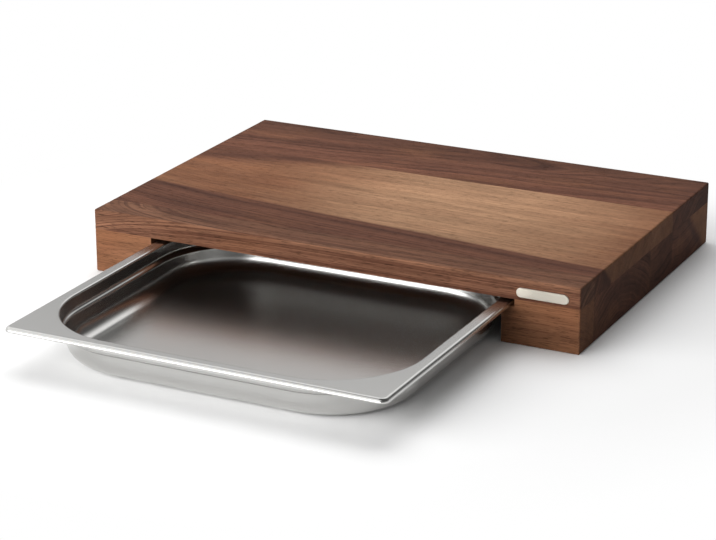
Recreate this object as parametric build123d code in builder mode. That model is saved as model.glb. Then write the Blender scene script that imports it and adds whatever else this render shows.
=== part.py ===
from build123d import *
import os

# Cutting board whose underside holds a steel tray that slides out to the front.
# Frame: X along the grain, +Y from the tray's mouth to the back, +Z up.
# Origin: centre of the footprint, on the table, with the tray pulled out.
# All sizes are in millimetres.

# ---- tray: a pressed steel pan of the 354 x 325 catering size ----
tray_width = 354.0
tray_depth = 325.0
tray_height = 37.6
sheet = 0.8                  # thickness of the steel
flange_width = 12.5          # rim's outer edge to the mouth's inner face
rim_corner_radius = 7.0      # outside corner of the rim
lip_drop = 4.2               # rim's top to the lower edge of its turned-down lip
lip_bend_radius = 3.4        # outside of the bend into the lip
mouth_corner_radius = 80.0
mouth_bend_radius = 2.2      # inside of the bend from the flange into the wall
upper_wall_height = 12.0     # rim's top to the stacking shoulder
shoulder_step = 3.6          # how far the wall moves in at the shoulder
shoulder_drop = 2.4
lower_wall_draft = 2.0       # how far the lower wall leans in
floor_bend_radius = 15.0     # inside of the bend from the wall into the floor
tray_pull_out = 242.5        # front of the rim to the front of the board

# ---- board: an edge-glued panel on two edge-glued rails ----
board_length = 480.0
board_depth = 325.0
panel_thickness = 19.0
arris_radius = 1.5           # eased outer edges of the wood
front_stave_width = 32.0
wide_stave_width = 137.0
narrow_stave_width = 57.0
ledge_width = 12.0           # bearing surface for each side of the rim

# ---- clearances ----
side_clearance = 3.0         # rim to the rail beside it
table_clearance = 1.0        # tray's underside to the table
roof_clearance = 2.4         # rim's top to the panel above it
seat_clearance = 0.3         # lip's lower edge to the ledge

# ---- name plate ----
plate_length = 48.0
plate_height = 8.7
plate_thickness = 1.6
plate_recess = 0.6           # how deep the plate is let into the wood
plate_fit = 0.1              # gap round the plate in its recess
plate_edge_bevel = 0.4
plate_end_margin = 10.4      # plate's end to the board's right end
plate_seam_margin = 2.6      # plate's lower edge to the seam over the rail

# ---- places worked out from the sizes above ----
rim_top = table_clearance + tray_height
tunnel_height = rim_top + roof_clearance
ledge_top = rim_top - lip_drop - seat_clearance
tunnel_width = tray_width + 2 * side_clearance
rail_width = (board_length - tunnel_width) / 2
board_front = (tray_pull_out - board_depth) / 2
board_back = board_front + board_depth
tray_front = board_front - tray_pull_out
tray_middle = tray_front + tray_depth / 2
mouth_width = tray_width - 2 * flange_width
mouth_depth = tray_depth - 2 * flange_width

stave_widths = [front_stave_width, wide_stave_width, narrow_stave_width]
stave_widths.append(board_depth - sum(stave_widths))
stave_fronts = [board_front + sum(stave_widths[:i]) for i in range(len(stave_widths))]

os.makedirs("parts", exist_ok=True)


def save(piece, name):
    """Label a finished piece and write its file."""
    piece.label = name
    export_step(piece, f"parts/{name}.step")


def saw_out_stave(front, width):
    """Keep the slice of the blank in the current builder that one stave fills."""
    split(bisect_by=Plane.XZ.offset(-front), keep=Keep.BOTTOM)
    split(bisect_by=Plane.XZ.offset(-front - width), keep=Keep.TOP)


# ---- the panel, glued up, machined and eased as one blank ----
with BuildPart() as panel_blank:
    with BuildSketch(Plane.XY.offset(tunnel_height)):
        with Locations((0, (board_front + board_back) / 2)):
            RectangleRounded(board_length, board_depth, arris_radius)
    extrude(amount=panel_thickness)
    fillet(panel_blank.faces().sort_by(Axis.Z)[-1].edges(), radius=arris_radius)

plate_x = board_length / 2 - plate_end_margin - plate_length / 2
plate_z = tunnel_height + plate_seam_margin + plate_height / 2
front_plane = Plane(origin=(plate_x, board_front, plate_z), x_dir=(1, 0, 0), z_dir=(0, -1, 0))

for number, (front, width) in enumerate(zip(stave_fronts, stave_widths), start=1):
    with BuildPart() as panel_stave:
        add(panel_blank.part)
        saw_out_stave(front, width)
        if number == 1:
            with BuildSketch(front_plane):
                SlotOverall(plate_length + 2 * plate_fit, plate_height + 2 * plate_fit)
            extrude(amount=-plate_recess, mode=Mode.SUBTRACT)
    save(panel_stave.part, f"panel_stave_{number}")

# ---- a rail's section is an L: a wall up to the panel and a ledge for the rim ----
with BuildPart() as left_rail_blank:
    outside = -board_length / 2
    wall_face = outside + rail_width
    ledge_face = wall_face + ledge_width
    with BuildSketch(Plane.XZ.offset(-board_front)):
        with BuildLine():
            Polyline(
                (outside, 0),
                (ledge_face, 0),
                (ledge_face, ledge_top),
                (wall_face, ledge_top),
                (wall_face, tunnel_height),
                (outside, tunnel_height),
                close=True,
            )
        make_face()
    extrude(amount=-board_depth)
    outer_uprights = left_rail_blank.edges().filter_by(Axis.Z).group_by(Axis.X)[0]
    fillet(outer_uprights, radius=arris_radius)
    underside = left_rail_blank.faces().sort_by(Axis.Z)[0]
    inner_edge = underside.edges().filter_by(Axis.Y).sort_by(Axis.X)[-1]
    fillet(underside.edges() - ShapeList([inner_edge]), radius=arris_radius)

with BuildPart() as right_rail_blank:
    mirror(left_rail_blank.part, about=Plane.YZ)

for side, blank in (("left", left_rail_blank), ("right", right_rail_blank)):
    for number, (front, width) in enumerate(zip(stave_fronts, stave_widths), start=1):
        with BuildPart() as rail_stave:
            add(blank.part)
            saw_out_stave(front, width)
        save(rail_stave.part, f"{side}_rail_stave_{number}")

# ---- name plate: a bare plate with round ends and a softened face ----
with BuildPart() as name_plate:
    with BuildSketch(front_plane.offset(-plate_recess)):
        SlotOverall(plate_length, plate_height)
    extrude(amount=plate_thickness)
    chamfer(name_plate.faces().sort_by(Axis.Y)[0].edges(), length=plate_edge_bevel)
save(name_plate.part, "name_plate")

# ---- tray: a quarter of the pressing, mirrored twice ----
middle = Plane(origin=(0, tray_middle, 0), x_dir=(1, 0, 0), z_dir=(0, 0, 1))
front_back_mirror = Plane(origin=(0, tray_middle, 0), x_dir=(1, 0, 0), z_dir=(0, 1, 0))
section_plane = Plane(origin=(0, tray_middle, 0), x_dir=(0, 1, 0), z_dir=(1, 0, 0))

mouth_reach = mouth_bend_radius + sheet     # flange side of the bend into the wall
floor_level = table_clearance + sheet
floor_start = shoulder_step + lower_wall_draft + floor_bend_radius + sheet


def quarter_path(width, depth, corner_radius, height):
    """Front middle, round one corner, to the side's middle, at a height."""
    with BuildLine(middle.offset(height)) as path:
        FilletPolyline((0, -depth / 2), (width / 2, -depth / 2), (width / 2, 0), radius=corner_radius)
    return path.wire()


with BuildPart() as tray:
    # The wall is one bent strip of sheet: mouth bend, stacking shoulder, floor bend.
    with BuildSketch(section_plane) as wall_section:
        face = -mouth_depth / 2
        mouth_corner = (face, rim_top)
        floor_corner = (face + shoulder_step + lower_wall_draft, floor_level)
        with BuildLine():
            food_side = Polyline(
                (face - mouth_reach, rim_top),
                mouth_corner,
                (face, rim_top - upper_wall_height),
                (face + shoulder_step, rim_top - upper_wall_height - shoulder_drop),
                floor_corner,
                (face + floor_start, floor_level),
            )
            offset(food_side, amount=sheet, side=Side.RIGHT, kind=Kind.INTERSECTION)
        make_face()
        for corner, radius in (
            (mouth_corner, mouth_bend_radius),
            (floor_corner, floor_bend_radius),
            (floor_corner, floor_bend_radius + sheet),
        ):
            fillet(wall_section.vertices().sort_by_distance(corner)[0], radius=radius)
    sweep(path=quarter_path(mouth_width, mouth_depth, mouth_corner_radius, rim_top))

    # The lip is turned down all round the rim.
    with BuildSketch(section_plane):
        with BuildLine():
            edge = -tray_depth / 2
            lip_outside = FilletPolyline(
                (edge, rim_top - lip_drop),
                (edge, rim_top),
                (edge + lip_bend_radius + sheet, rim_top),
                radius=lip_bend_radius,
            )
            offset(lip_outside, amount=sheet, side=Side.RIGHT)
        make_face()
    sweep(path=quarter_path(tray_width, tray_depth, rim_corner_radius, rim_top))
    mirror(about=Plane.YZ)
    mirror(about=front_back_mirror)

    # The flat of the flange, between the lip's bend and the mouth's bend.
    with BuildSketch(middle.offset(rim_top)):
        inset = lip_bend_radius + sheet
        RectangleRounded(tray_width - 2 * inset, tray_depth - 2 * inset, rim_corner_radius - inset)
        RectangleRounded(
            mouth_width + 2 * mouth_reach,
            mouth_depth + 2 * mouth_reach,
            mouth_corner_radius + mouth_reach,
            mode=Mode.SUBTRACT,
        )
    extrude(amount=-sheet)

    # The floor, inside the floor bend.
    with BuildSketch(middle.offset(table_clearance)):
        RectangleRounded(
            mouth_width - 2 * floor_start,
            mouth_depth - 2 * floor_start,
            mouth_corner_radius - floor_start,
        )
    extrude(amount=sheet)
save(tray.part, "tray")
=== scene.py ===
"""Looks of a walnut cutting board with a slide-out steel tray, laid out as an add-on.

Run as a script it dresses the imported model: oiled walnut on every stave, a smooth
pressed tray with satin steel, a bare name plate, and a pale studio to see them in.
Frame: X along the grain, +Y from the tray's mouth to the back, +Z up, in metres.
"""

import math
from dataclasses import dataclass

import bpy
import numpy as np
from mathutils import Euler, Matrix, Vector


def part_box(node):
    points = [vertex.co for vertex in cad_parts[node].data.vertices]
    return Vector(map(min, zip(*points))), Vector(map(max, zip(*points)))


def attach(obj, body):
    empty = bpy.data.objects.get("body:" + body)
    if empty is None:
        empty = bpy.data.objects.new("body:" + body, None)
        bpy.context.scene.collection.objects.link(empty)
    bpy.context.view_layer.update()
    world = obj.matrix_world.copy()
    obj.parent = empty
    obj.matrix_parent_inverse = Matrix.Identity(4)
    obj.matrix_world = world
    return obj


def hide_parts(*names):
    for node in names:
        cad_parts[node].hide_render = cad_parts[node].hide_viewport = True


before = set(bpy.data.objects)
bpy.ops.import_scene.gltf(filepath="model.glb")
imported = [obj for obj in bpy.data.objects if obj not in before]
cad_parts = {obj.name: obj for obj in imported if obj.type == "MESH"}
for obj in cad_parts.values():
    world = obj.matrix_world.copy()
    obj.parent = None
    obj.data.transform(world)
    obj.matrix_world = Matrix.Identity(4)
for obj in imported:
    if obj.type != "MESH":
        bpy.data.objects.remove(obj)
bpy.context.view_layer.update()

bl_info = {
    "name": "Cutting board looks",
    "version": (1, 0, 0),
    "blender": (4, 5, 0),
    "location": "3D View > Sidebar > Board",
    "description": "Walnut, steel and studio for a cutting board with a slide-out tray",
    "category": "Object",
}

MM = 0.001
TRAY_LOW, TRAY_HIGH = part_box("tray")
BOARD_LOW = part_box("left_rail_stave_1")[0]
BOARD_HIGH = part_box("panel_stave_4")[1]
BOARD_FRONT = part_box("panel_stave_1")[0].y


# ---------------------------------------------------------------- settings


class WalnutSettings(bpy.types.PropertyGroup):
    """Colours and finish of the oiled walnut."""

    heart: bpy.props.FloatVectorProperty(
        name="Heartwood", description="Purple brown of the heart of the log",
        subtype="COLOR", size=4, default=(0.128, 0.053, 0.032, 1), min=0, max=1)
    pale: bpy.props.FloatVectorProperty(
        name="Pale wood", description="Tan wood between heart and bark",
        subtype="COLOR", size=4, default=(0.350, 0.200, 0.114, 1), min=0, max=1)
    amber: bpy.props.FloatVectorProperty(
        name="Amber wood", description="Redder tone that the pale wood turns to",
        subtype="COLOR", size=4, default=(0.185, 0.080, 0.040, 1), min=0, max=1)
    streak: bpy.props.FloatVectorProperty(
        name="Streaks", description="Dark lines that follow the growth rings",
        subtype="COLOR", size=4, default=(0.045, 0.016, 0.010, 1), min=0, max=1)
    roughness: bpy.props.FloatProperty(
        name="Roughness", description="Roughness of the oiled surface",
        subtype="FACTOR", default=0.55, min=0.05, max=1)
    wear: bpy.props.FloatProperty(
        name="Worn edges", description="How far the board's edges go to the pale colour",
        subtype="FACTOR", default=0.02, min=0, max=1)
    relief: bpy.props.FloatProperty(
        name="Pore depth", description="Depth of the open pores",
        unit="LENGTH", default=0.08 * MM, min=0, max=1 * MM)


class TraySettings(bpy.types.PropertyGroup):
    """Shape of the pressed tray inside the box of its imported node."""

    sheet: bpy.props.FloatProperty(
        name="Sheet", description="Thickness of the steel",
        unit="LENGTH", default=0.8 * MM, min=0.3 * MM, max=2 * MM)
    flange: bpy.props.FloatProperty(
        name="Flange", description="Rim's outer edge to the mouth",
        unit="LENGTH", default=12.5 * MM, min=8 * MM, max=30 * MM)
    rim_corner: bpy.props.FloatProperty(
        name="Rim corner", description="Outside corner radius of the rim",
        unit="LENGTH", default=7 * MM, min=5 * MM, max=40 * MM)
    lip_drop: bpy.props.FloatProperty(
        name="Lip drop", description="Rim's top to the lip's lower edge",
        unit="LENGTH", default=4.2 * MM, min=4 * MM, max=10 * MM)
    lip_bend: bpy.props.FloatProperty(
        name="Lip bend", description="Outside radius of the bend into the lip",
        unit="LENGTH", default=3.4 * MM, min=1 * MM, max=4 * MM)
    mouth_corner: bpy.props.FloatProperty(
        name="Mouth corner", description="Corner radius of the basin's mouth",
        unit="LENGTH", default=80 * MM, min=30 * MM, max=120 * MM)
    mouth_bend: bpy.props.FloatProperty(
        name="Mouth bend", description="Radius from the flange into the wall",
        unit="LENGTH", default=2.2 * MM, min=1 * MM, max=5 * MM)
    upper_wall: bpy.props.FloatProperty(
        name="Upper wall", description="Rim's top to the stacking shoulder",
        unit="LENGTH", default=12 * MM, min=6 * MM, max=20 * MM)
    shoulder_step: bpy.props.FloatProperty(
        name="Shoulder step", description="How far the shoulder moves the wall in",
        unit="LENGTH", default=3.6 * MM, min=1 * MM, max=6 * MM)
    shoulder_drop: bpy.props.FloatProperty(
        name="Shoulder drop", description="Height of the shoulder's slope",
        unit="LENGTH", default=2.4 * MM, min=1 * MM, max=6 * MM)
    shoulder_bend: bpy.props.FloatProperty(
        name="Shoulder bend", description="Radius of both bends of the shoulder",
        unit="LENGTH", default=3.8 * MM, min=0.5 * MM, max=4 * MM)
    draft: bpy.props.FloatProperty(
        name="Draft", description="How far the lower wall leans in",
        unit="LENGTH", default=2 * MM, min=0, max=8 * MM)
    floor_bend: bpy.props.FloatProperty(
        name="Floor bend", description="Radius from the wall into the floor",
        unit="LENGTH", default=15 * MM, min=5 * MM, max=18 * MM)


class SteelSettings(bpy.types.PropertyGroup):
    """Finish of the tray and of the plate."""

    tone: bpy.props.FloatVectorProperty(
        name="Steel", description="Reflected colour of the tray",
        subtype="COLOR", size=4, default=(0.60, 0.595, 0.58, 1), min=0, max=1)
    roughness: bpy.props.FloatProperty(
        name="Tray roughness", description="Roughness of the satin steel",
        subtype="FACTOR", default=0.25, min=0.02, max=1)
    plate_tone: bpy.props.FloatVectorProperty(
        name="Plate", description="Reflected colour of the name plate",
        subtype="COLOR", size=4, default=(0.74, 0.69, 0.60, 1), min=0, max=1)
    plate_roughness: bpy.props.FloatProperty(
        name="Plate roughness", description="Roughness of the plate's field",
        subtype="FACTOR", default=0.38, min=0.02, max=1)


class StudioSettings(bpy.types.PropertyGroup):
    """Camera and light."""

    camera_place: bpy.props.FloatVectorProperty(
        name="Camera", description="Place of the camera in the model's frame",
        subtype="TRANSLATION", unit="LENGTH", default=(0.949, -1.861, 0.779))
    camera_turn: bpy.props.FloatProperty(
        name="Turn", description="Camera's turn about the vertical",
        subtype="ANGLE", default=math.radians(26.64))
    camera_fall: bpy.props.FloatProperty(
        name="Fall", description="How far the camera looks down",
        subtype="ANGLE", default=math.radians(19.91))
    camera_roll: bpy.props.FloatProperty(
        name="Roll", description="Camera's roll about its own axis",
        subtype="ANGLE", default=math.radians(-0.15))
    focal_length: bpy.props.FloatProperty(
        name="Focal length", description="In millimetres on a 36 mm frame",
        default=124.6, min=10, max=400)
    lens_shift: bpy.props.FloatVectorProperty(
        name="Shift", description="Shift of the lens, as shares of the frame's width",
        size=2, default=(-0.0071, 0.0042))
    world_strength: bpy.props.FloatProperty(
        name="Room light", description="Strength of the even light of the room",
        default=0.20, min=0, max=3)


# ---------------------------------------------------------------- node helpers


class NodeSheet:
    """A node tree being filled in; every method returns the socket it makes."""

    def __init__(self, tree):
        self.tree = tree

    def feed(self, socket, value):
        """Link a socket, or set a plain value."""
        if isinstance(value, bpy.types.NodeSocket):
            self.tree.links.new(value, socket)
        elif value is not None:
            socket.default_value = value

    def node(self, kind, inputs=None, **settings):
        """A node with its own settings and with its inputs fed by name or number."""
        made = self.tree.nodes.new(kind)
        for name, value in settings.items():
            setattr(made, name, value)
        for name, value in (inputs or {}).items():
            self.feed(made.inputs[name], value)
        return made

    def math(self, operation, a, b=None, c=None, clamp=False):
        """One step of arithmetic; MULTIPLY_ADD is a times b plus c."""
        made = self.node("ShaderNodeMath", {0: a, 1: b, 2: c}, operation=operation, use_clamp=clamp)
        return made.outputs[0]

    def vector(self, operation, a, b=None):
        """The same for vectors."""
        made = self.node("ShaderNodeVectorMath", {0: a, 1: b}, operation=operation)
        return made.outputs["Value" if operation in ("LENGTH", "DOT_PRODUCT") else "Vector"]

    def parts(self, vector):
        """X, Y and Z of a vector."""
        return self.node("ShaderNodeSeparateXYZ", {0: vector}).outputs

    def joined(self, x, y, z):
        """A vector of three values."""
        return self.node("ShaderNodeCombineXYZ", {0: x, 1: y, 2: z}).outputs[0]

    def noise(self, vector, scale, detail=2.0, roughness=0.5):
        made = self.node("ShaderNodeTexNoise", {
            "Vector": vector, "Scale": scale, "Detail": detail, "Roughness": roughness})
        return made.outputs["Fac"]

    def drawn_noise(self, place, rates, detail=2.0, roughness=0.5):
        """Noise that changes at its own rate along X, Y and Z."""
        return self.noise(self.vector("MULTIPLY", place, rates), 1.0, detail, roughness)

    def noise_vector(self, place, rates, size):
        """Drawn-out noise in three channels, centred on nought, with peaks of about size."""
        made = self.node("ShaderNodeTexNoise", {
            "Vector": self.vector("MULTIPLY", place, rates), "Scale": 1.0, "Detail": 2.0})
        centred = self.vector("SUBTRACT", made.outputs["Color"], (0.5, 0.5, 0.5))
        return self.vector("MULTIPLY", centred, (2 * size,) * 3)

    def line_noise(self, w, scale, detail=2.0, roughness=0.5):
        """Noise along a line."""
        made = self.node("ShaderNodeTexNoise", {
            "W": w, "Scale": scale, "Detail": detail, "Roughness": roughness},
            noise_dimensions="1D")
        return made.outputs["Fac"]

    def step(self, value, low, high, to_low=0.0, to_high=1.0):
        """A smooth step from one level to another."""
        made = self.node("ShaderNodeMapRange", {
            "Value": value, "From Min": low, "From Max": high, "To Min": to_low, "To Max": to_high},
            interpolation_type="SMOOTHSTEP")
        return made.outputs["Result"]

    def changed(self, value, mask, change):
        """A value times one plus a change, where the mask is 1."""
        return self.math("MULTIPLY", value, self.math("MULTIPLY_ADD", mask, change, 1.0))

    def mix(self, factor, a, b):
        """Colour a where the factor is 0, b where it is 1."""
        made = self.node("ShaderNodeMix", data_type="RGBA")
        self.feed(made.inputs[0], factor)
        self.feed(made.inputs[6], a)
        self.feed(made.inputs[7], b)
        return made.outputs[2]

    def millimetres(self):
        """Object coordinates in millimetres."""
        place = self.node("ShaderNodeTexCoord").outputs["Object"]
        return self.vector("MULTIPLY", place, (1 / MM,) * 3)


def new_group(name, inputs, outputs):
    """An empty shader node group with its sockets, and the sheet to fill it on."""
    tree = bpy.data.node_groups.new(name, "ShaderNodeTree")
    for label, kind, default in inputs:
        socket = tree.interface.new_socket(label, in_out="INPUT", socket_type=kind)
        socket.default_value = default
    for label, kind in outputs:
        tree.interface.new_socket(label, in_out="OUTPUT", socket_type=kind)
    sheet = NodeSheet(tree)
    given = tree.nodes.new("NodeGroupInput").outputs
    wanted = tree.nodes.new("NodeGroupOutput").inputs
    return sheet, given, wanted


def new_material(name):
    """A material with only an output node, and the sheet to fill it on."""
    material = bpy.data.materials.new(name)
    material.use_nodes = True
    material.node_tree.nodes.clear()
    return material, NodeSheet(material.node_tree)


def use_group(sheet, name, values):
    """A node of a shared group with its own values."""
    made = sheet.node("ShaderNodeGroup", node_tree=bpy.data.node_groups[name])
    for label, value in values.items():
        sheet.feed(made.inputs[label], value)
    return made.outputs


def finish_material(sheet, surface):
    """Send a shader to the material's output."""
    output = sheet.node("ShaderNodeOutputMaterial")
    sheet.tree.links.new(surface, output.inputs["Surface"])


def paint(piece, material):
    """Give every material slot of a piece one material."""
    piece.data.materials.clear()
    piece.data.materials.append(material)


# ---------------------------------------------------------------- walnut


COLOR, FLOAT, VECTOR = "NodeSocketColor", "NodeSocketFloat", "NodeSocketVector"

# How fast each pattern changes along X, Y and Z, per mm. All are drawn out along X.
BROAD_BENDS = (0.0035, 0.011, 0.011)
SMALL_BENDS = (0.014, 0.06, 0.06)
STREAK_PATCHES = (0.008, 0.04, 0.04)
FIBRES = (0.02, 1.1, 1.1)
SILK = (0.012, 0.10, 0.10)
CLOUDS = (0.011, 0.022, 0.022)
DASHES = (0.11, 1.9, 1.9)

# Grain and rings, in mm or in rings.
BROAD_BEND_SIZE = 10.0
SMALL_BEND_SIZE = 1.6
SEED_STRIDES = (1.0, 3.1, 1.7)      # a seed moves a stave this far through the patterns
SWEEP_REACH = 60.0      # how far from the left end the sweep of the rings dies away
BAND_RATE, LINE_RATE, FINE_RATE = 0.31, 1.15, 3.1
LATE_WAVER = 1.4        # how far the lines push the late wood of a ring about
LATE_STEEPNESS = 5.0
LATE_SHARE, FINE_SHARE = 0.45, 0.35

# Where the noises turn into marks, from nothing to full.
STREAK_STEP = (0.50, 0.68)
PATCH_STEP = (0.36, 0.62)
FINE_STEP = (0.45, 0.75)
BAND_STEP = (0.34, 0.66)
CLOUD_STEP = (0.45, 0.85)
PORE_STEP = (0.645, 0.72)
MORE_PORES_IN_LATE, MORE_PORES_IN_BANDS = 0.05, 0.06
END_GRAIN_STEP = (0.55, 0.95)       # the part of the normal that points along X

# Heart and pale wood, in mm.
HEART_WAVER = 5.0       # how far the lines push the heart's edge about
HEART_BEND = 0.5        # how much of the grain's bend it follows
BORDER_WIDTH = 18.0     # the darker rim of the heart
PALEST_X = 60.0         # where the pale wood is palest, from the middle

# Shares of one colour in another.
HEART_BANDS, PALE_BANDS = 0.45, 0.16
HEART_CLOUDS = 0.6
REDDENING_BY_CLOUDS = 0.6
BORDER_SHARE = 0.35
STREAKS_IN_PALE, STREAKS_MORE_IN_HEART = 0.24, 0.46

# Changes of lightness: to 0.78 is 22 percent darker.
FIBRE_LIGHT = (0.25, 0.75, 0.78, 1.22)
SILK_LIGHT = (0.30, 0.70, 0.88, 1.12)
END_GRAIN_CHANGE = -0.34
PORE_CHANGE, LESS_ON_END_GRAIN = -0.50, 0.15
GLUE_CHANGE = -0.22
GLUE_REACH = (0.45, 0.12)
TONE_CORE = 0.1         # the part of its reach where a joint's tone is full

# Finish: oil, roughness, relief as shares of the pores' depth, and wear on the edges.
OIL_IOR = 1.45
OIL_SHEEN = 0.08        # thin oil mirrors less than a varnish does
ROUGHER_BY_FIBRES, ROUGHER_ON_END_GRAIN, ROUGHER_IN_PORES = 0.16, 0.14, 0.12
FIBRE_RELIEF, GLUE_RELIEF = 0.25, -0.5
ARRIS_WIDTH = 2.0       # how far from the board's edges the wear reaches, in mm
ARRIS_CORE = 0.3        # the part of that width that is fully worn


def build_edge_group():
    """How near a point is to an edge of a box: 1 on the edge, 0 beyond the width.

    The distances to the nearest of the two X, Y and Z faces are sorted; on the
    surface the least is nought, so the middle one is the distance to the edge.
    """
    sheet, given, wanted = new_group(
        "Arris",
        [("Low", VECTOR, (0, 0, 0)), ("High", VECTOR, (1, 1, 1)), ("Width", FLOAT, 1.0)],
        [("Edge", FLOAT)])
    place = sheet.millimetres()
    from_low = sheet.vector("SUBTRACT", place, given["Low"])
    from_high = sheet.vector("SUBTRACT", given["High"], place)
    x, y, z = sheet.parts(sheet.vector("MINIMUM", from_low, from_high))
    smaller = sheet.math("MINIMUM", x, y)
    larger = sheet.math("MAXIMUM", x, y)
    middle = sheet.math("MAXIMUM", smaller, sheet.math("MINIMUM", larger, z))
    width = given["Width"]
    sheet.feed(wanted["Edge"], sheet.step(middle, width, sheet.math("MULTIPLY", width, ARRIS_CORE)))


def ring_count(sheet, given, place, bend):
    """How many growth rings lie between the log's pith and a point.

    The pith is a line along X that leans, and it sweeps aside near the left end by an
    amount that dies away exponentially. The point is moved by the bend of the grain,
    and its distance from the pith is divided by the width of a ring.
    """
    along = sheet.parts(place)[0]
    x, y, z = sheet.parts(sheet.vector("ADD", place, bend))
    decay = sheet.math("EXPONENT", sheet.math(
        "DIVIDE", sheet.math("SUBTRACT", given["Left End"], along), SWEEP_REACH))
    _, lean_y, lean_z = sheet.parts(given["Lean"])
    _, pith_y, pith_z = sheet.parts(given["Pith"])
    _, sweep_y, sweep_z = sheet.parts(given["Sweep"])
    centre_y = sheet.math("MULTIPLY_ADD", decay, sweep_y, sheet.math("MULTIPLY_ADD", x, lean_y, pith_y))
    centre_z = sheet.math("MULTIPLY_ADD", decay, sweep_z, sheet.math("MULTIPLY_ADD", x, lean_z, pith_z))
    radius = sheet.vector("LENGTH", sheet.joined(
        0.0, sheet.math("SUBTRACT", y, centre_y), sheet.math("SUBTRACT", z, centre_z)))
    return sheet.math("DIVIDE", radius, given["Ring Width"])


def ring_marks(sheet, given, rings, seeded):
    """Broad bands, wavering lines, late wood and dark streaks, no two rings alike.

    Bands and lines are noise along the count of rings, and late wood is the steep end
    of each ring. The strongest lines are streaks, in patches, with some late wood.
    """
    counted = sheet.math("ADD", rings, sheet.parts(given["Seed"])[0])
    bands = sheet.line_noise(counted, BAND_RATE)
    lines = sheet.line_noise(counted, LINE_RATE, roughness=0.6)
    fine = sheet.line_noise(counted, FINE_RATE, detail=1.0)
    pushed = sheet.math("MULTIPLY_ADD", lines, LATE_WAVER, rings)
    late = sheet.math("POWER", sheet.math("FRACT", pushed), LATE_STEEPNESS)
    patches = sheet.step(sheet.drawn_noise(seeded, STREAK_PATCHES), *PATCH_STEP)
    streaks = sheet.math("MULTIPLY", sheet.step(lines, *STREAK_STEP), patches)
    streaks = sheet.math("MULTIPLY_ADD", late, LATE_SHARE, streaks)
    streaks = sheet.math("MULTIPLY_ADD", sheet.step(fine, *FINE_STEP), FINE_SHARE, streaks)
    streaks = sheet.math("MULTIPLY", streaks, given["Streaking"], clamp=True)
    return bands, lines, late, streaks


def heart_masks(sheet, given, place, waver):
    """1 in the heart and 0 in the pale wood, and 1 in the heart's darker rim.

    They meet at a line that slopes along X, wavers, and moves back by a millimetre
    for each millimetre below the board's top.
    """
    x, y, z = sheet.parts(place)
    line = sheet.math("MULTIPLY_ADD", x, given["Heart Slope"], given["Heart Edge"])
    line = sheet.math("ADD", line, sheet.math("SUBTRACT", BOARD_HIGH.z / MM, z))
    past = sheet.math("MULTIPLY", sheet.math("SUBTRACT", sheet.math("ADD", waver, y), line),
                      given["Heart Side"])
    blend = given["Heart Blend"]
    heart = sheet.step(past, sheet.math("MULTIPLY", blend, -1.0), blend)
    rim = sheet.math("MULTIPLY", sheet.step(past, 0.0, blend), sheet.step(past, BORDER_WIDTH, blend))
    return heart, rim


def wood_color(sheet, given, x, clouds, bands, streaks, heart, rim):
    """The colour before light and shade: heart or pale, banded, then streaked.

    The pale wood reddens with the distance from its palest place along X.
    """
    band = sheet.step(bands, *BAND_STEP)
    heart_color = sheet.mix(sheet.math("MULTIPLY", band, HEART_BANDS), given["Heart"], given["Streak"])
    heart_color = sheet.mix(sheet.step(clouds, *CLOUD_STEP, 0.0, HEART_CLOUDS), heart_color, given["Amber"])
    ends = sheet.math("ABSOLUTE", sheet.math("SUBTRACT", x, PALEST_X))
    redness = sheet.step(ends, given["Amber From"], given["Amber To"])
    redness = sheet.math("MULTIPLY_ADD", sheet.math("SUBTRACT", clouds, 0.5), REDDENING_BY_CLOUDS,
                         redness, clamp=True)
    pale_color = sheet.mix(redness, given["Pale"], given["Amber"])
    pale_color = sheet.mix(sheet.math("MULTIPLY", band, PALE_BANDS), pale_color, given["Heart"])
    color = sheet.mix(heart, pale_color, heart_color)
    color = sheet.mix(sheet.math("MULTIPLY", rim, BORDER_SHARE), color, given["Streak"])
    strength = sheet.math("MULTIPLY_ADD", heart, STREAKS_MORE_IN_HEART, STREAKS_IN_PALE)
    return sheet.mix(sheet.math("MULTIPLY", streaks, strength), color, given["Streak"])


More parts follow.
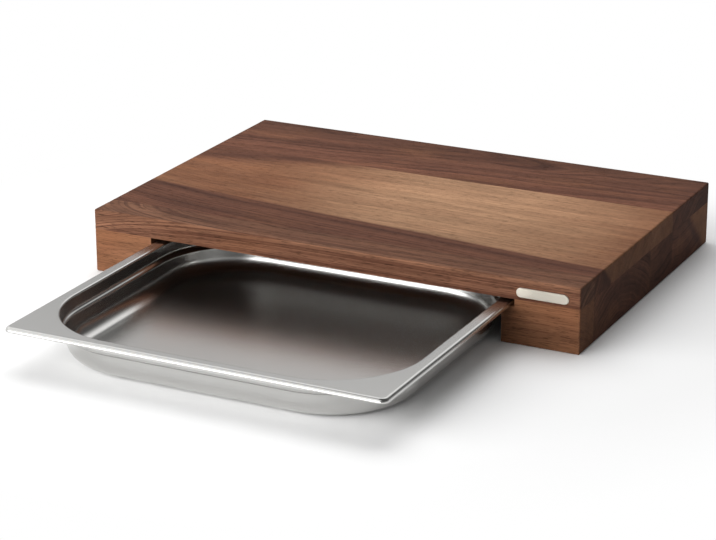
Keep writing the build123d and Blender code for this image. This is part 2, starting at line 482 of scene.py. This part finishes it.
def build_walnut_group():
    """A stave sawn from a log that lies roughly along X.

    Bands, lines and streaks follow the growth rings, which slow noise bends. Fibres
    and pores are noise drawn out along X. End grain drinks more oil, so it is darker,
    and a hairline of glue shows at each joint.
    """
    sheet, given, wanted = new_group(
        "Walnut",
        [("Pith", VECTOR, (0, 0, 0)), ("Lean", VECTOR, (0, 0, 0)), ("Sweep", VECTOR, (0, 0, 0)),
         ("Left End", FLOAT, 0.0), ("Seed", VECTOR, (0, 0, 0)), ("Wander", FLOAT, 1.0),
         ("Ring Width", FLOAT, 4.0), ("Heart Edge", FLOAT, 0.0), ("Heart Slope", FLOAT, 0.0),
         ("Heart Side", FLOAT, 1.0), ("Heart Blend", FLOAT, 4.0), ("Heart", COLOR, (0, 0, 0, 1)),
         ("Pale", COLOR, (1, 1, 1, 1)), ("Amber", COLOR, (1, 1, 1, 1)),
         ("Amber From", FLOAT, 90.0), ("Amber To", FLOAT, 230.0), ("Streak", COLOR, (0, 0, 0, 1)),
         ("Streaking", FLOAT, 1.0), ("Tone", FLOAT, 1.0), ("Joint Front", FLOAT, 0.0),
         ("Joint Back", FLOAT, 1.0), ("Front Tone And Face Light", FLOAT, 0.0), ("Back Tone", FLOAT, 0.0),
         ("Tone Reach", FLOAT, 8.0), ("Roughness", FLOAT, 0.5)],
        [("Color", COLOR), ("Roughness", FLOAT), ("Height", FLOAT)])
    place = sheet.millimetres()
    seeded = sheet.vector("ADD", place, given["Seed"])

    # Rings and what follows them.
    broad = sheet.noise_vector(seeded, BROAD_BENDS, BROAD_BEND_SIZE)
    small = sheet.noise_vector(seeded, SMALL_BENDS, SMALL_BEND_SIZE)
    wander = sheet.joined(*[given["Wander"]] * 3)
    bend = sheet.vector("MULTIPLY", sheet.vector("ADD", broad, small), wander)
    rings = ring_count(sheet, given, place, bend)
    bands, lines, late, streaks = ring_marks(sheet, given, rings, seeded)
    waver = sheet.math("MULTIPLY_ADD", sheet.math("SUBTRACT", lines, 0.5), HEART_WAVER,
                       sheet.math("MULTIPLY", sheet.parts(broad)[1], HEART_BEND))
    heart, rim = heart_masks(sheet, given, place, waver)

    # Fibres and pores; pores crowd in the late wood and in the dark bands.
    fibres = sheet.drawn_noise(seeded, FIBRES, detail=3.0, roughness=0.6)
    silk = sheet.drawn_noise(seeded, SILK, detail=3.0)
    clouds = sheet.drawn_noise(seeded, CLOUDS)
    dashes = sheet.drawn_noise(seeded, DASHES, detail=1.0)
    crowd = sheet.math("MULTIPLY_ADD", late, MORE_PORES_IN_LATE,
                       sheet.math("MULTIPLY", bands, MORE_PORES_IN_BANDS))
    pores = sheet.step(sheet.math("ADD", dashes, crowd), *PORE_STEP)
    facing = sheet.parts(sheet.node("ShaderNodeNewGeometry").outputs["Normal"])[0]
    end_grain = sheet.step(sheet.math("ABSOLUTE", facing), *END_GRAIN_STEP)

    # Lightness: fibres, silk, margins beside the joints, end grain, pores and glue.
    # On the front stave the front margin is painted light: its whole front face is made lighter.
    x, y, _ = sheet.parts(place)
    to_front = sheet.math("ABSOLUTE", sheet.math("SUBTRACT", y, given["Joint Front"]))
    to_back = sheet.math("ABSOLUTE", sheet.math("SUBTRACT", y, given["Joint Back"]))
    glue = sheet.step(sheet.math("MINIMUM", to_front, to_back), *GLUE_REACH)
    reach, full = given["Tone Reach"], sheet.math("MULTIPLY", given["Tone Reach"], TONE_CORE)
    light = sheet.math("MULTIPLY", sheet.step(fibres, *FIBRE_LIGHT), sheet.step(silk, *SILK_LIGHT))
    light = sheet.math("MULTIPLY", light, given["Tone"])
    # Lighter or darker beside the front joint; on the front stave this is painted light that makes its
    # whole front face lighter.
    light = sheet.changed(light, sheet.step(to_front, reach, full), given["Front Tone And Face Light"])
    light = sheet.changed(light, sheet.step(to_back, reach, full), given["Back Tone"])
    light = sheet.changed(light, end_grain, END_GRAIN_CHANGE)
    light = sheet.changed(light, pores, sheet.math(
        "MULTIPLY_ADD", end_grain, LESS_ON_END_GRAIN, PORE_CHANGE))
    light = sheet.changed(light, glue, GLUE_CHANGE)
    color = wood_color(sheet, given, x, clouds, bands, streaks, heart, rim)
    sheet.feed(wanted["Color"], sheet.vector("MULTIPLY", color, sheet.joined(light, light, light)))

    # Finish: end grain and pores are rougher; pores and glue lines lie lower.
    rough = sheet.math("MULTIPLY_ADD", sheet.math("SUBTRACT", fibres, 0.5), ROUGHER_BY_FIBRES,
                       given["Roughness"])
    rough = sheet.math("MULTIPLY_ADD", end_grain, ROUGHER_ON_END_GRAIN, rough)
    sheet.feed(wanted["Roughness"], sheet.math("MULTIPLY_ADD", pores, ROUGHER_IN_PORES, rough))
    height = sheet.math("MULTIPLY_ADD", fibres, FIBRE_RELIEF, sheet.math("MULTIPLY", pores, -1.0))
    sheet.feed(wanted["Height"], sheet.math("MULTIPLY_ADD", glue, GLUE_RELIEF, height))


@dataclass
class Stave:
    """How one stave was cut. Places are in mm from the foot of the board's front edge.

    pith: Y and Z of the log's heart; lean: its slope in Y and Z for each millimetre
    along X; sweep: how far it moves aside at the left end; ring: width of a growth
    ring; wander: how much the grain bends. heart_edge and heart_slope: the line where
    the colour changes, in Y at X = 0 and its slope; heart_side: +1 if the heart lies
    behind it, -1 in front; heart_blend: half the width of the change. amber: how far
    from the palest place the pale wood starts to redden and where it ends. warm: how
    far the heart's own colour goes to pale. front_tone_and_face_light and back_tone:
    lighter or darker beside a joint, as far from it as tone_reach. On the front stave,
    whose front joint is the board's front face, the front one is painted light: the
    whole front face is made lighter.
    """

    pith: tuple
    seed: float
    lean: tuple = (0.0, 0.0)
    sweep: tuple = (0.0, 0.0)
    ring: float = 5.0
    wander: float = 1.0
    heart_edge: float = -999.0
    heart_slope: float = 0.0
    heart_side: float = 1.0
    heart_blend: float = 4.0
    amber: tuple = (30.0, 225.0)
    warm: float = 0.0
    streaking: float = 1.0
    tone: float = 1.0
    front_tone_and_face_light: float = 0.0
    back_tone: float = 0.0
    tone_reach: float = 8.0


ALL_PALE = 999.0
ALL_AMBER = (-300.0, -200.0)

STAVES = {
    # The front stave's front face is made 30 percent lighter by its front tone: painted light.
    "panel_stave_1": Stave((40.0, 0.0), 11.0, sweep=(0.0, -18.5), ring=4.6, wander=0.30, warm=0.20,
                           streaking=1.5, tone=0.98, front_tone_and_face_light=0.30, tone_reach=0.6),
    "panel_stave_2": Stave((250.0, -90.0), 47.0, lean=(-0.09, 0.0), sweep=(16.0, 0.0), ring=4.6,
                           wander=0.5, heart_edge=78.0, heart_slope=-0.095, heart_side=-1.0,
                           streaking=1.3, tone=0.90, back_tone=0.12, tone_reach=70.0),
    "panel_stave_3": Stave((260.0, -160.0), 83.0, lean=(0.02, 0.0), ring=6.0,
                           heart_edge=243.0, heart_slope=0.27, heart_blend=17.0,
                           streaking=0.5, tone=0.98, front_tone_and_face_light=0.14, tone_reach=40.0),
    "panel_stave_4": Stave((330.0, -70.0), 29.0, lean=(0.06, -0.02), wander=1.4, streaking=1.2,
                           front_tone_and_face_light=0.22, back_tone=-0.35, tone_reach=50.0),
    "left_rail_stave_1": Stave((60.0, -90.0), 61.0, ring=6.0, heart_edge=ALL_PALE,
                               amber=ALL_AMBER, streaking=0.5, tone=1.06),
    "left_rail_stave_2": Stave((90.0, 140.0), 5.0),
    "left_rail_stave_3": Stave((150.0, -90.0), 71.0),
    "left_rail_stave_4": Stave((300.0, 120.0), 17.0, heart_edge=ALL_PALE,
                               amber=ALL_AMBER, streaking=0.6),
    "right_rail_stave_1": Stave((-30.0, -60.0), 37.0, ring=6.0, heart_edge=ALL_PALE,
                                amber=ALL_AMBER, streaking=1.2, tone=0.92),
    "right_rail_stave_2": Stave((90.0, -60.0), 93.0, tone=0.95),
    "right_rail_stave_3": Stave((180.0, 140.0), 53.0, tone=0.95),
    "right_rail_stave_4": Stave((250.0, 110.0), 23.0, heart_edge=256.0, heart_side=-1.0,
                                heart_blend=8.0, tone=1.20),
}


def walnut_material(name, settings):
    """Oiled walnut for one stave, with its own cut of the log."""
    cut = STAVES[name]
    front_mm = BOARD_FRONT / MM
    low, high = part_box(name)
    material, sheet = new_material(f"walnut_{name}")
    wood = use_group(sheet, "Walnut", {
        "Pith": (0.0, front_mm + cut.pith[0], cut.pith[1]),
        "Lean": (0.0, *cut.lean),
        "Sweep": (0.0, *cut.sweep),
        "Left End": BOARD_LOW.x / MM,
        "Seed": [cut.seed * stride for stride in SEED_STRIDES],
        "Wander": cut.wander,
        "Ring Width": cut.ring,
        "Heart Edge": front_mm + cut.heart_edge,
        "Heart Slope": cut.heart_slope,
        "Heart Side": cut.heart_side,
        "Heart Blend": cut.heart_blend,
        "Heart": Vector(settings.heart).lerp(Vector(settings.pale), cut.warm),
        "Pale": settings.pale,
        "Amber": settings.amber,
        "Amber From": cut.amber[0],
        "Amber To": cut.amber[1],
        "Streak": settings.streak,
        "Streaking": cut.streaking,
        "Tone": cut.tone,
        "Joint Front": low.y / MM,
        "Joint Back": high.y / MM,
        "Front Tone And Face Light": cut.front_tone_and_face_light,
        "Back Tone": cut.back_tone,
        "Tone Reach": cut.tone_reach,
        "Roughness": settings.roughness,
    })
    arris = use_group(sheet, "Arris", {
        "Low": BOARD_LOW / MM, "High": BOARD_HIGH / MM, "Width": ARRIS_WIDTH})
    worn = sheet.mix(sheet.math("MULTIPLY", arris["Edge"], settings.wear), wood["Color"], settings.pale)
    bump = sheet.node("ShaderNodeBump", {
        "Height": wood["Height"], "Distance": settings.relief, "Strength": 1.0})
    shader = sheet.node("ShaderNodeBsdfPrincipled", {
        "Base Color": worn, "Roughness": wood["Roughness"], "Normal": bump.outputs["Normal"],
        "IOR": OIL_IOR, "Specular IOR Level": OIL_SHEEN})
    finish_material(sheet, shader.outputs["BSDF"])
    return material


# ---------------------------------------------------------------- steel

CLOUD_RATE = 0.016          # of the cloudiness of the finish, per mm
CLOUDINESS = 0.02
GRAIN_ROUGHNESS = 0.05      # how far the grain changes the roughness
TRAY_GRAIN, TRAY_GRAIN_DEPTH = 2.5, 0.001 * MM      # grains per mm, and their depth
PLATE_GRAIN, PLATE_GRAIN_DEPTH = 6.0, 0.02 * MM


def build_satin_group():
    """Fine unevenness of pressed and polished metal, for roughness and relief."""
    sheet, given, wanted = new_group(
        "Satin", [("Roughness", FLOAT, 0.3), ("Cloudiness", FLOAT, 0.05), ("Grain", FLOAT, 3.0)],
        [("Roughness", FLOAT), ("Height", FLOAT)])
    place = sheet.millimetres()
    clouds = sheet.noise(place, CLOUD_RATE, detail=4.0, roughness=0.6)
    grain = sheet.noise(place, given["Grain"], roughness=0.6)
    rough = sheet.math("MULTIPLY_ADD", sheet.math("SUBTRACT", clouds, 0.5),
                       given["Cloudiness"], given["Roughness"])
    sheet.feed(wanted["Roughness"], sheet.math(
        "MULTIPLY_ADD", sheet.math("SUBTRACT", grain, 0.5), GRAIN_ROUGHNESS, rough))
    sheet.feed(wanted["Height"], grain)


def steel_material(name, tone, roughness, grain, grain_depth):
    """Satin metal with a fine grain."""
    material, sheet = new_material(name)
    satin = use_group(sheet, "Satin", {
        "Roughness": roughness, "Cloudiness": CLOUDINESS, "Grain": grain})
    bump = sheet.node("ShaderNodeBump", {
        "Height": satin["Height"], "Distance": grain_depth, "Strength": 1.0})
    shader = sheet.node("ShaderNodeBsdfPrincipled", {
        "Base Color": tone, "Metallic": 1.0, "Roughness": satin["Roughness"],
        "Normal": bump.outputs["Normal"]})
    finish_material(sheet, shader.outputs["BSDF"])
    return material


# ---------------------------------------------------------------- surfaces


FLOOR_RUN, FLANGE_RUN = 1.0 * MM, 0.5 * MM      # flat runs beside the outermost bends


def bent_line(points, radii, degrees_a_step=6.0):
    """A polyline with its inner corners rounded by arcs, as points and unit normals.

    Each corner's arc touches both runs at radius * tan(half the turn) from the
    corner. The normal is the direction of travel turned a quarter to the left.
    """
    points = np.asarray(points, float)
    runs = np.diff(points, axis=0)
    runs /= np.linalg.norm(runs, axis=1)[:, None]
    left = np.stack([-runs[:, 1], runs[:, 0]], axis=1)
    places, normals = [points[:1]], [left[:1]]
    for corner, radius, into, out, side in zip(points[1:-1], radii, runs[:-1], runs[1:], left[:-1]):
        turn = math.atan2(into[0] * out[1] - into[1] * out[0], into @ out)
        hand = math.copysign(1.0, turn)
        start = corner - into * radius * math.tan(abs(turn) / 2)
        centre = start + side * radius * hand
        count = max(2, math.ceil(abs(math.degrees(turn)) / degrees_a_step))
        angle = math.atan2(side[1], side[0]) + np.linspace(0.0, turn, count + 1)
        around = np.stack([np.cos(angle), np.sin(angle)], axis=1)
        places.append(centre - around * radius * hand)
        normals.append(around)
    return np.concatenate(places + [points[-1:]]), np.concatenate(normals + [left[-1:]])


def rounded_outline(half_width, half_depth, radius, arc_steps):
    """Round rectangles, one for each entry, as (entries, points, 2), anticlockwise.

    A point is its corner's centre plus the radius times the direction of the arc.
    """
    quarter = np.linspace(0.0, math.pi / 2, arc_steps + 1)
    angle = (quarter[None, :] + np.arange(4)[:, None] * math.pi / 2).ravel()
    direction = np.stack([np.cos(angle), np.sin(angle)], axis=1)
    sign = np.repeat(np.array([(1, 1), (-1, 1), (-1, -1), (1, -1)], float), arc_steps + 1, axis=0)
    reach = np.stack([half_width - radius, half_depth - radius], axis=1)
    return sign[None] * reach[:, None] + direction[None] * radius[:, None, None], direction


def closed_rings(name, rings, ring_normals, first_pole, last_pole, pole_normals):
    """A closed mesh of rings of points from one pole to the other, with its own normals.

    Ring i and ring i + 1 are joined by quads, and each end by a fan to its pole.
    """
    count, around = rings.shape[:2]
    ring, column = np.meshgrid(np.arange(count - 1), np.arange(around), indexing="ij")
    after = (column + 1) % around
    quads = np.stack([ring * around + column, (ring + 1) * around + column,
                      (ring + 1) * around + after, ring * around + after], axis=-1).reshape(-1, 4)
    here = np.arange(around)
    beside = (here + 1) % around
    first, last = count * around, count * around + 1
    start = np.stack([np.full(around, first), here, beside], axis=-1)
    end = np.stack([np.full(around, last), beside + (count - 1) * around,
                    here + (count - 1) * around], axis=-1)
    vertices = np.concatenate([rings.reshape(-1, 3), [first_pole], [last_pole]])
    normals = np.concatenate([ring_normals.reshape(-1, 3), pole_normals])
    mesh = bpy.data.meshes.new(name)
    mesh.from_pydata(vertices.tolist(), [], quads.tolist() + start.tolist() + end.tolist())
    mesh.polygons.foreach_set("use_smooth", np.ones(len(mesh.polygons), bool))
    mesh.update()
    mesh.normals_split_custom_set_from_vertices(normals.tolist())
    piece = bpy.data.objects.new(name, mesh)
    bpy.context.scene.collection.objects.link(piece)
    return piece


def edge_round(top, under, top_normal, steps=8):
    """A half circle from the last point of one side of a sheet to the other side."""
    centre, half = (top + under) / 2, np.linalg.norm(top - under) / 2
    onward = np.array([top_normal[1], -top_normal[0]])
    angle = np.linspace(0.0, math.pi, steps + 1)[1:-1, None]
    around = np.cos(angle) * top_normal + np.sin(angle) * onward
    return centre + around * half, around


def tray_mesh(shape):
    """The pressed tray: one sheet, bent at the lip, mouth, shoulder and floor.

    Each ring is a round rectangle whose half sizes and corner radius shrink by the
    same inset. Rings of the lip are inset from the rim, those of the wall from the
    mouth, and the flat flange is the band between the two families.
    """
    centre = (TRAY_LOW + TRAY_HIGH) / 2
    half = (TRAY_HIGH - TRAY_LOW) / 2
    top, floor = TRAY_HIGH.z, TRAY_LOW.z + shape.sheet
    step_in, lean = shape.shoulder_step, shape.shoulder_step + shape.draft

    # The wall from the floor up: X is the inset from the mouth, negative on the flange.
    wall, wall_normal = bent_line(
        [(lean + shape.floor_bend + FLOOR_RUN, floor),
         (lean, floor),
         (step_in, top - shape.upper_wall - shape.shoulder_drop),
         (0.0, top - shape.upper_wall),
         (0.0, top),
         (-shape.mouth_bend - FLANGE_RUN, top)],
        [shape.floor_bend, shape.shoulder_bend, shape.shoulder_bend, shape.mouth_bend])
    lip, lip_normal = bent_line(
        [(shape.lip_bend + FLANGE_RUN, top), (0.0, top), (0.0, top - shape.lip_drop + shape.sheet / 2)],
        [shape.lip_bend])
    wall_normal, lip_normal = -wall_normal, -lip_normal
    under_wall = wall - wall_normal * shape.sheet
    under_lip = lip - lip_normal * shape.sheet
    hem, hem_normal = edge_round(lip[-1], under_lip[-1], lip_normal[-1])

    line = np.concatenate([wall, lip, hem, under_lip[::-1], under_wall[::-1]])
    normal = np.concatenate([wall_normal, lip_normal, hem_normal, -lip_normal[::-1], -wall_normal[::-1]])
    on_lip = np.zeros(len(line), bool)
    on_lip[len(wall):len(line) - len(wall)] = True
    inset = line[:, 0] + np.where(on_lip, 0.0, shape.flange)
    corner = np.where(on_lip, shape.rim_corner, shape.mouth_corner + shape.flange) - inset
    plan, direction = rounded_outline(half.x - inset, half.y - inset, corner, arc_steps=32)
    height = np.broadcast_to(line[:, 1, None, None], plan.shape[:2] + (1,))
    rings = np.concatenate([plan + (centre.x, centre.y), height], axis=2)
    sideways = -normal[:, 0, None, None] * direction[None]
    upward = np.broadcast_to(normal[:, 1, None, None], plan.shape[:2] + (1,))
    normals = np.concatenate([sideways, upward], axis=2)
    return closed_rings(
        "pressed_tray", rings, normals,
        (centre.x, centre.y, floor), (centre.x, centre.y, TRAY_LOW.z), [(0, 0, 1), (0, 0, -1)])


# ---------------------------------------------------------------- operators


def settings_of(context):
    """The add-on's settings in the scene."""
    return context.scene.board_looks


class BoardLooks(bpy.types.PropertyGroup):
    """All the settings of the add-on."""

    walnut: bpy.props.PointerProperty(type=WalnutSettings)
    tray: bpy.props.PointerProperty(type=TraySettings)
    steel: bpy.props.PointerProperty(type=SteelSettings)
    studio: bpy.props.PointerProperty(type=StudioSettings)


class BOARD_OT_studio(bpy.types.Operator):
    """Set up the floor, the lamps, the room light and the camera"""

    bl_idname = "board.studio"
    bl_label = "Studio"

    def execute(self, context):
        settings = settings_of(context).studio
        scene = context.scene
        scene.view_settings.view_transform = "Standard"
        add_camera(scene, settings)
        add_floor(scene)
        add_lamps(scene)
        light_room(scene, settings)
        return {"FINISHED"}


def add_camera(scene, settings):
    """A camera turned about the vertical, tipped down and rolled a little."""
    lens = bpy.data.cameras.new("camera")
    lens.lens = settings.focal_length
    lens.shift_x, lens.shift_y = settings.lens_shift
    camera = bpy.data.objects.new("camera", lens)
    turn = Euler((0, 0, settings.camera_turn)).to_matrix()
    fall = Euler((math.pi / 2 - settings.camera_fall, 0, 0)).to_matrix()
    roll = Euler((0, 0, settings.camera_roll)).to_matrix()
    camera.matrix_world = (turn @ fall @ roll).to_4x4()
    camera.location = settings.camera_place
    scene.collection.objects.link(camera)
    scene.camera = camera


def seen_directly(sheet):
    """1 for rays from the camera and for mirrored or transmitted ones, 0 for diffuse light."""
    path = sheet.node("ShaderNodeLightPath").outputs
    both = sheet.math("MAXIMUM", path["Is Camera Ray"], path["Is Glossy Ray"])
    return sheet.math("MAXIMUM", both, path["Is Transmission Ray"])


FLOOR_REACH, FLOOR_DROP = 6.0, 0.2 * MM
FLOOR_LIT, FLOOR_SEEN = (0.70, 0.70, 0.70, 1), (0.78, 0.78, 0.78, 1)
GLOW_FROM, GLOW_FULL = 340.0, 490.0     # where the floor turns white, in mm from the origin
WHITE = (1, 1, 1, 1)


def add_floor(scene):
    """A wide pale floor that keeps the shadows near the board and is white farther off."""
    mesh = bpy.data.meshes.new("floor")
    mesh.from_pydata([(x * FLOOR_REACH, y * FLOOR_REACH, -FLOOR_DROP)
                      for x, y in ((-1, -1), (1, -1), (1, 1), (-1, 1))], [], [(0, 1, 2, 3)])
    floor = bpy.data.objects.new("floor", mesh)
    scene.collection.objects.link(floor)
    material, sheet = new_material("floor_pale")
    seen = seen_directly(sheet)
    away = sheet.vector("LENGTH", sheet.millimetres())
    far = sheet.math("MULTIPLY", seen, sheet.step(away, GLOW_FROM, GLOW_FULL))
    diffuse = sheet.node("ShaderNodeBsdfDiffuse", {"Color": sheet.mix(seen, FLOOR_LIT, FLOOR_SEEN)})
    glow = sheet.node("ShaderNodeEmission", {"Color": WHITE, "Strength": 1.0})
    both = sheet.node("ShaderNodeMixShader", {0: far, 1: diffuse.outputs[0], 2: glow.outputs[0]})
    finish_material(sheet, both.outputs[0])
    paint(floor, material)


LAMPS = (
    # name, place, aimed at, width, height, power
    ("lamp_front", (-1.30, -2.30, 0.90), (0.0, 0.0, 0.40), 4.2, 1.8, 191.0),
    ("lamp_over", (-0.45, 0.65, 1.80), (0.0, 0.0, 0.0), 2.0, 1.8, 33.0),
)


def add_lamps(scene):
    """Soft lamps that light the wood and the floor; the metal mirrors the tent instead."""
    for name, place, aim, width, height, power in LAMPS:
        lamp = bpy.data.lights.new(name, "AREA")
        lamp.shape, lamp.size, lamp.size_y, lamp.energy = "RECTANGLE", width, height, power
        holder = bpy.data.objects.new(name, lamp)
        holder.location = place
        holder.rotation_euler = (Vector(aim) - Vector(place)).to_track_quat("-Z", "Y").to_euler()
        holder.visible_camera = False
        holder.visible_glossy = False
        scene.collection.objects.link(holder)


# The light tent that metal mirrors. Each pair is where a part of it starts and where it
# is full, as the upward, backward or rightward part of a direction of length 1.
WALL_FOOT, WALL_HEAD, WALL_SIDE, WALL_LIGHT = (0.26, 0.54), (0.97, 0.80), (0.38, -0.12), 1.4
STRIP_HEAD, STRIP_FRONT, STRIP_SIDE, STRIP_LIGHT = (0.38, 0.22), (-0.45, -0.70), (0.34, -0.06), 6.4
SCREEN_HEAD, SCREEN_SIDE = (0.60, 0.40), (-0.48, -0.66)
HORIZON, ABOVE_HORIZON, ON_HORIZON = (0.36, 0.12), 0.09, 0.42


def light_tent(sheet):
    """How bright the tent is in a direction: the brightest of its four parts there.

    A white wall behind the board, a white screen to its left, a bright low strip in
    front of it, and grey near the horizon. It is dark elsewhere.
    """
    rightward, backward, upward = sheet.parts(sheet.node("ShaderNodeTexCoord").outputs["Generated"])
    wall = sheet.math("MULTIPLY", sheet.step(upward, *WALL_FOOT), sheet.step(upward, *WALL_HEAD))
    wall = sheet.math("MULTIPLY", wall, sheet.step(rightward, *WALL_SIDE, 0.0, WALL_LIGHT))
    strip = sheet.math("MULTIPLY", sheet.step(upward, *STRIP_HEAD), sheet.step(backward, *STRIP_FRONT))
    strip = sheet.math("MULTIPLY", strip, sheet.step(rightward, *STRIP_SIDE, 0.0, STRIP_LIGHT))
    screen = sheet.math("MULTIPLY", sheet.step(upward, *SCREEN_HEAD), sheet.step(rightward, *SCREEN_SIDE))
    horizon = sheet.step(upward, *HORIZON, ABOVE_HORIZON, ON_HORIZON)
    return sheet.math("MAXIMUM", sheet.math("MAXIMUM", horizon, screen), sheet.math("MAXIMUM", wall, strip))


def light_room(scene, settings):
    """Even light for the object, a light tent in the metal, and white for the camera."""
    world = bpy.data.worlds.new("room")
    world.use_nodes = True
    world.node_tree.nodes.clear()
    sheet = NodeSheet(world.node_tree)
    path = sheet.node("ShaderNodeLightPath").outputs
    tent = light_tent(sheet)
    even = (settings.world_strength,) * 3 + (1,)
    light = sheet.mix(path["Is Glossy Ray"], even, sheet.joined(tent, tent, tent))
    light = sheet.mix(path["Is Camera Ray"], light, WHITE)
    background = sheet.node("ShaderNodeBackground", {"Color": light, "Strength": 1.0})
    output = sheet.node("ShaderNodeOutputWorld")
    sheet.tree.links.new(background.outputs[0], output.inputs["Surface"])
    scene.world = world


class BOARD_OT_staves(bpy.types.Operator):
    """Give every stave of the panel and of both rails its own cut of walnut"""

    bl_idname = "board.staves"
    bl_label = "Walnut staves"

    def execute(self, context):
        settings = settings_of(context).walnut
        build_walnut_group()
        build_edge_group()
        for name in STAVES:
            paint(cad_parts[name], walnut_material(name, settings))
        return {"FINISHED"}


class BOARD_OT_tray(bpy.types.Operator):
    """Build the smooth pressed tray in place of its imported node"""

    bl_idname = "board.tray"
    bl_label = "Steel tray"

    def execute(self, context):
        settings = settings_of(context)
        build_satin_group()
        tray = tray_mesh(settings.tray)
        paint(tray, steel_material("satin_steel", settings.steel.tone, settings.steel.roughness,
                                   TRAY_GRAIN, TRAY_GRAIN_DEPTH))
        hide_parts("tray")
        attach(tray, "tray")
        return {"FINISHED"}


class BOARD_OT_plate(bpy.types.Operator):
    """Finish the bare name plate"""

    bl_idname = "board.plate"
    bl_label = "Name plate"

    def execute(self, context):
        settings = settings_of(context).steel
        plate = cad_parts["name_plate"]
        paint(plate, steel_material("plate_metal", settings.plate_tone, settings.plate_roughness,
                                    PLATE_GRAIN, PLATE_GRAIN_DEPTH))
        return {"FINISHED"}


class BOARD_PT_looks(bpy.types.Panel):
    """The add-on's panel in the sidebar"""

    bl_label = "Cutting board"
    bl_space_type = "VIEW_3D"
    bl_region_type = "UI"
    bl_category = "Board"

    def draw(self, context):
        looks = settings_of(context)
        for operator, group in (
            (BOARD_OT_studio, looks.studio),
            (BOARD_OT_staves, looks.walnut),
            (BOARD_OT_tray, looks.tray),
            (BOARD_OT_plate, looks.steel),
        ):
            box = self.layout.box()
            box.operator(operator.bl_idname)
            for name in group.__annotations__:
                box.prop(group, name)


CLASSES = (
    WalnutSettings, TraySettings, SteelSettings, StudioSettings, BoardLooks,
    BOARD_OT_studio, BOARD_OT_staves, BOARD_OT_tray, BOARD_OT_plate, BOARD_PT_looks,
)


def register():
    for each in CLASSES:
        bpy.utils.register_class(each)
    bpy.types.Scene.board_looks = bpy.props.PointerProperty(type=BoardLooks)


def unregister():
    del bpy.types.Scene.board_looks
    for each in reversed(CLASSES):
        bpy.utils.unregister_class(each)


def main():
    register()
    bpy.ops.board.studio()
    bpy.ops.board.staves()
    bpy.ops.board.tray()
    bpy.ops.board.plate()


if __name__ == "__main__":
    main()
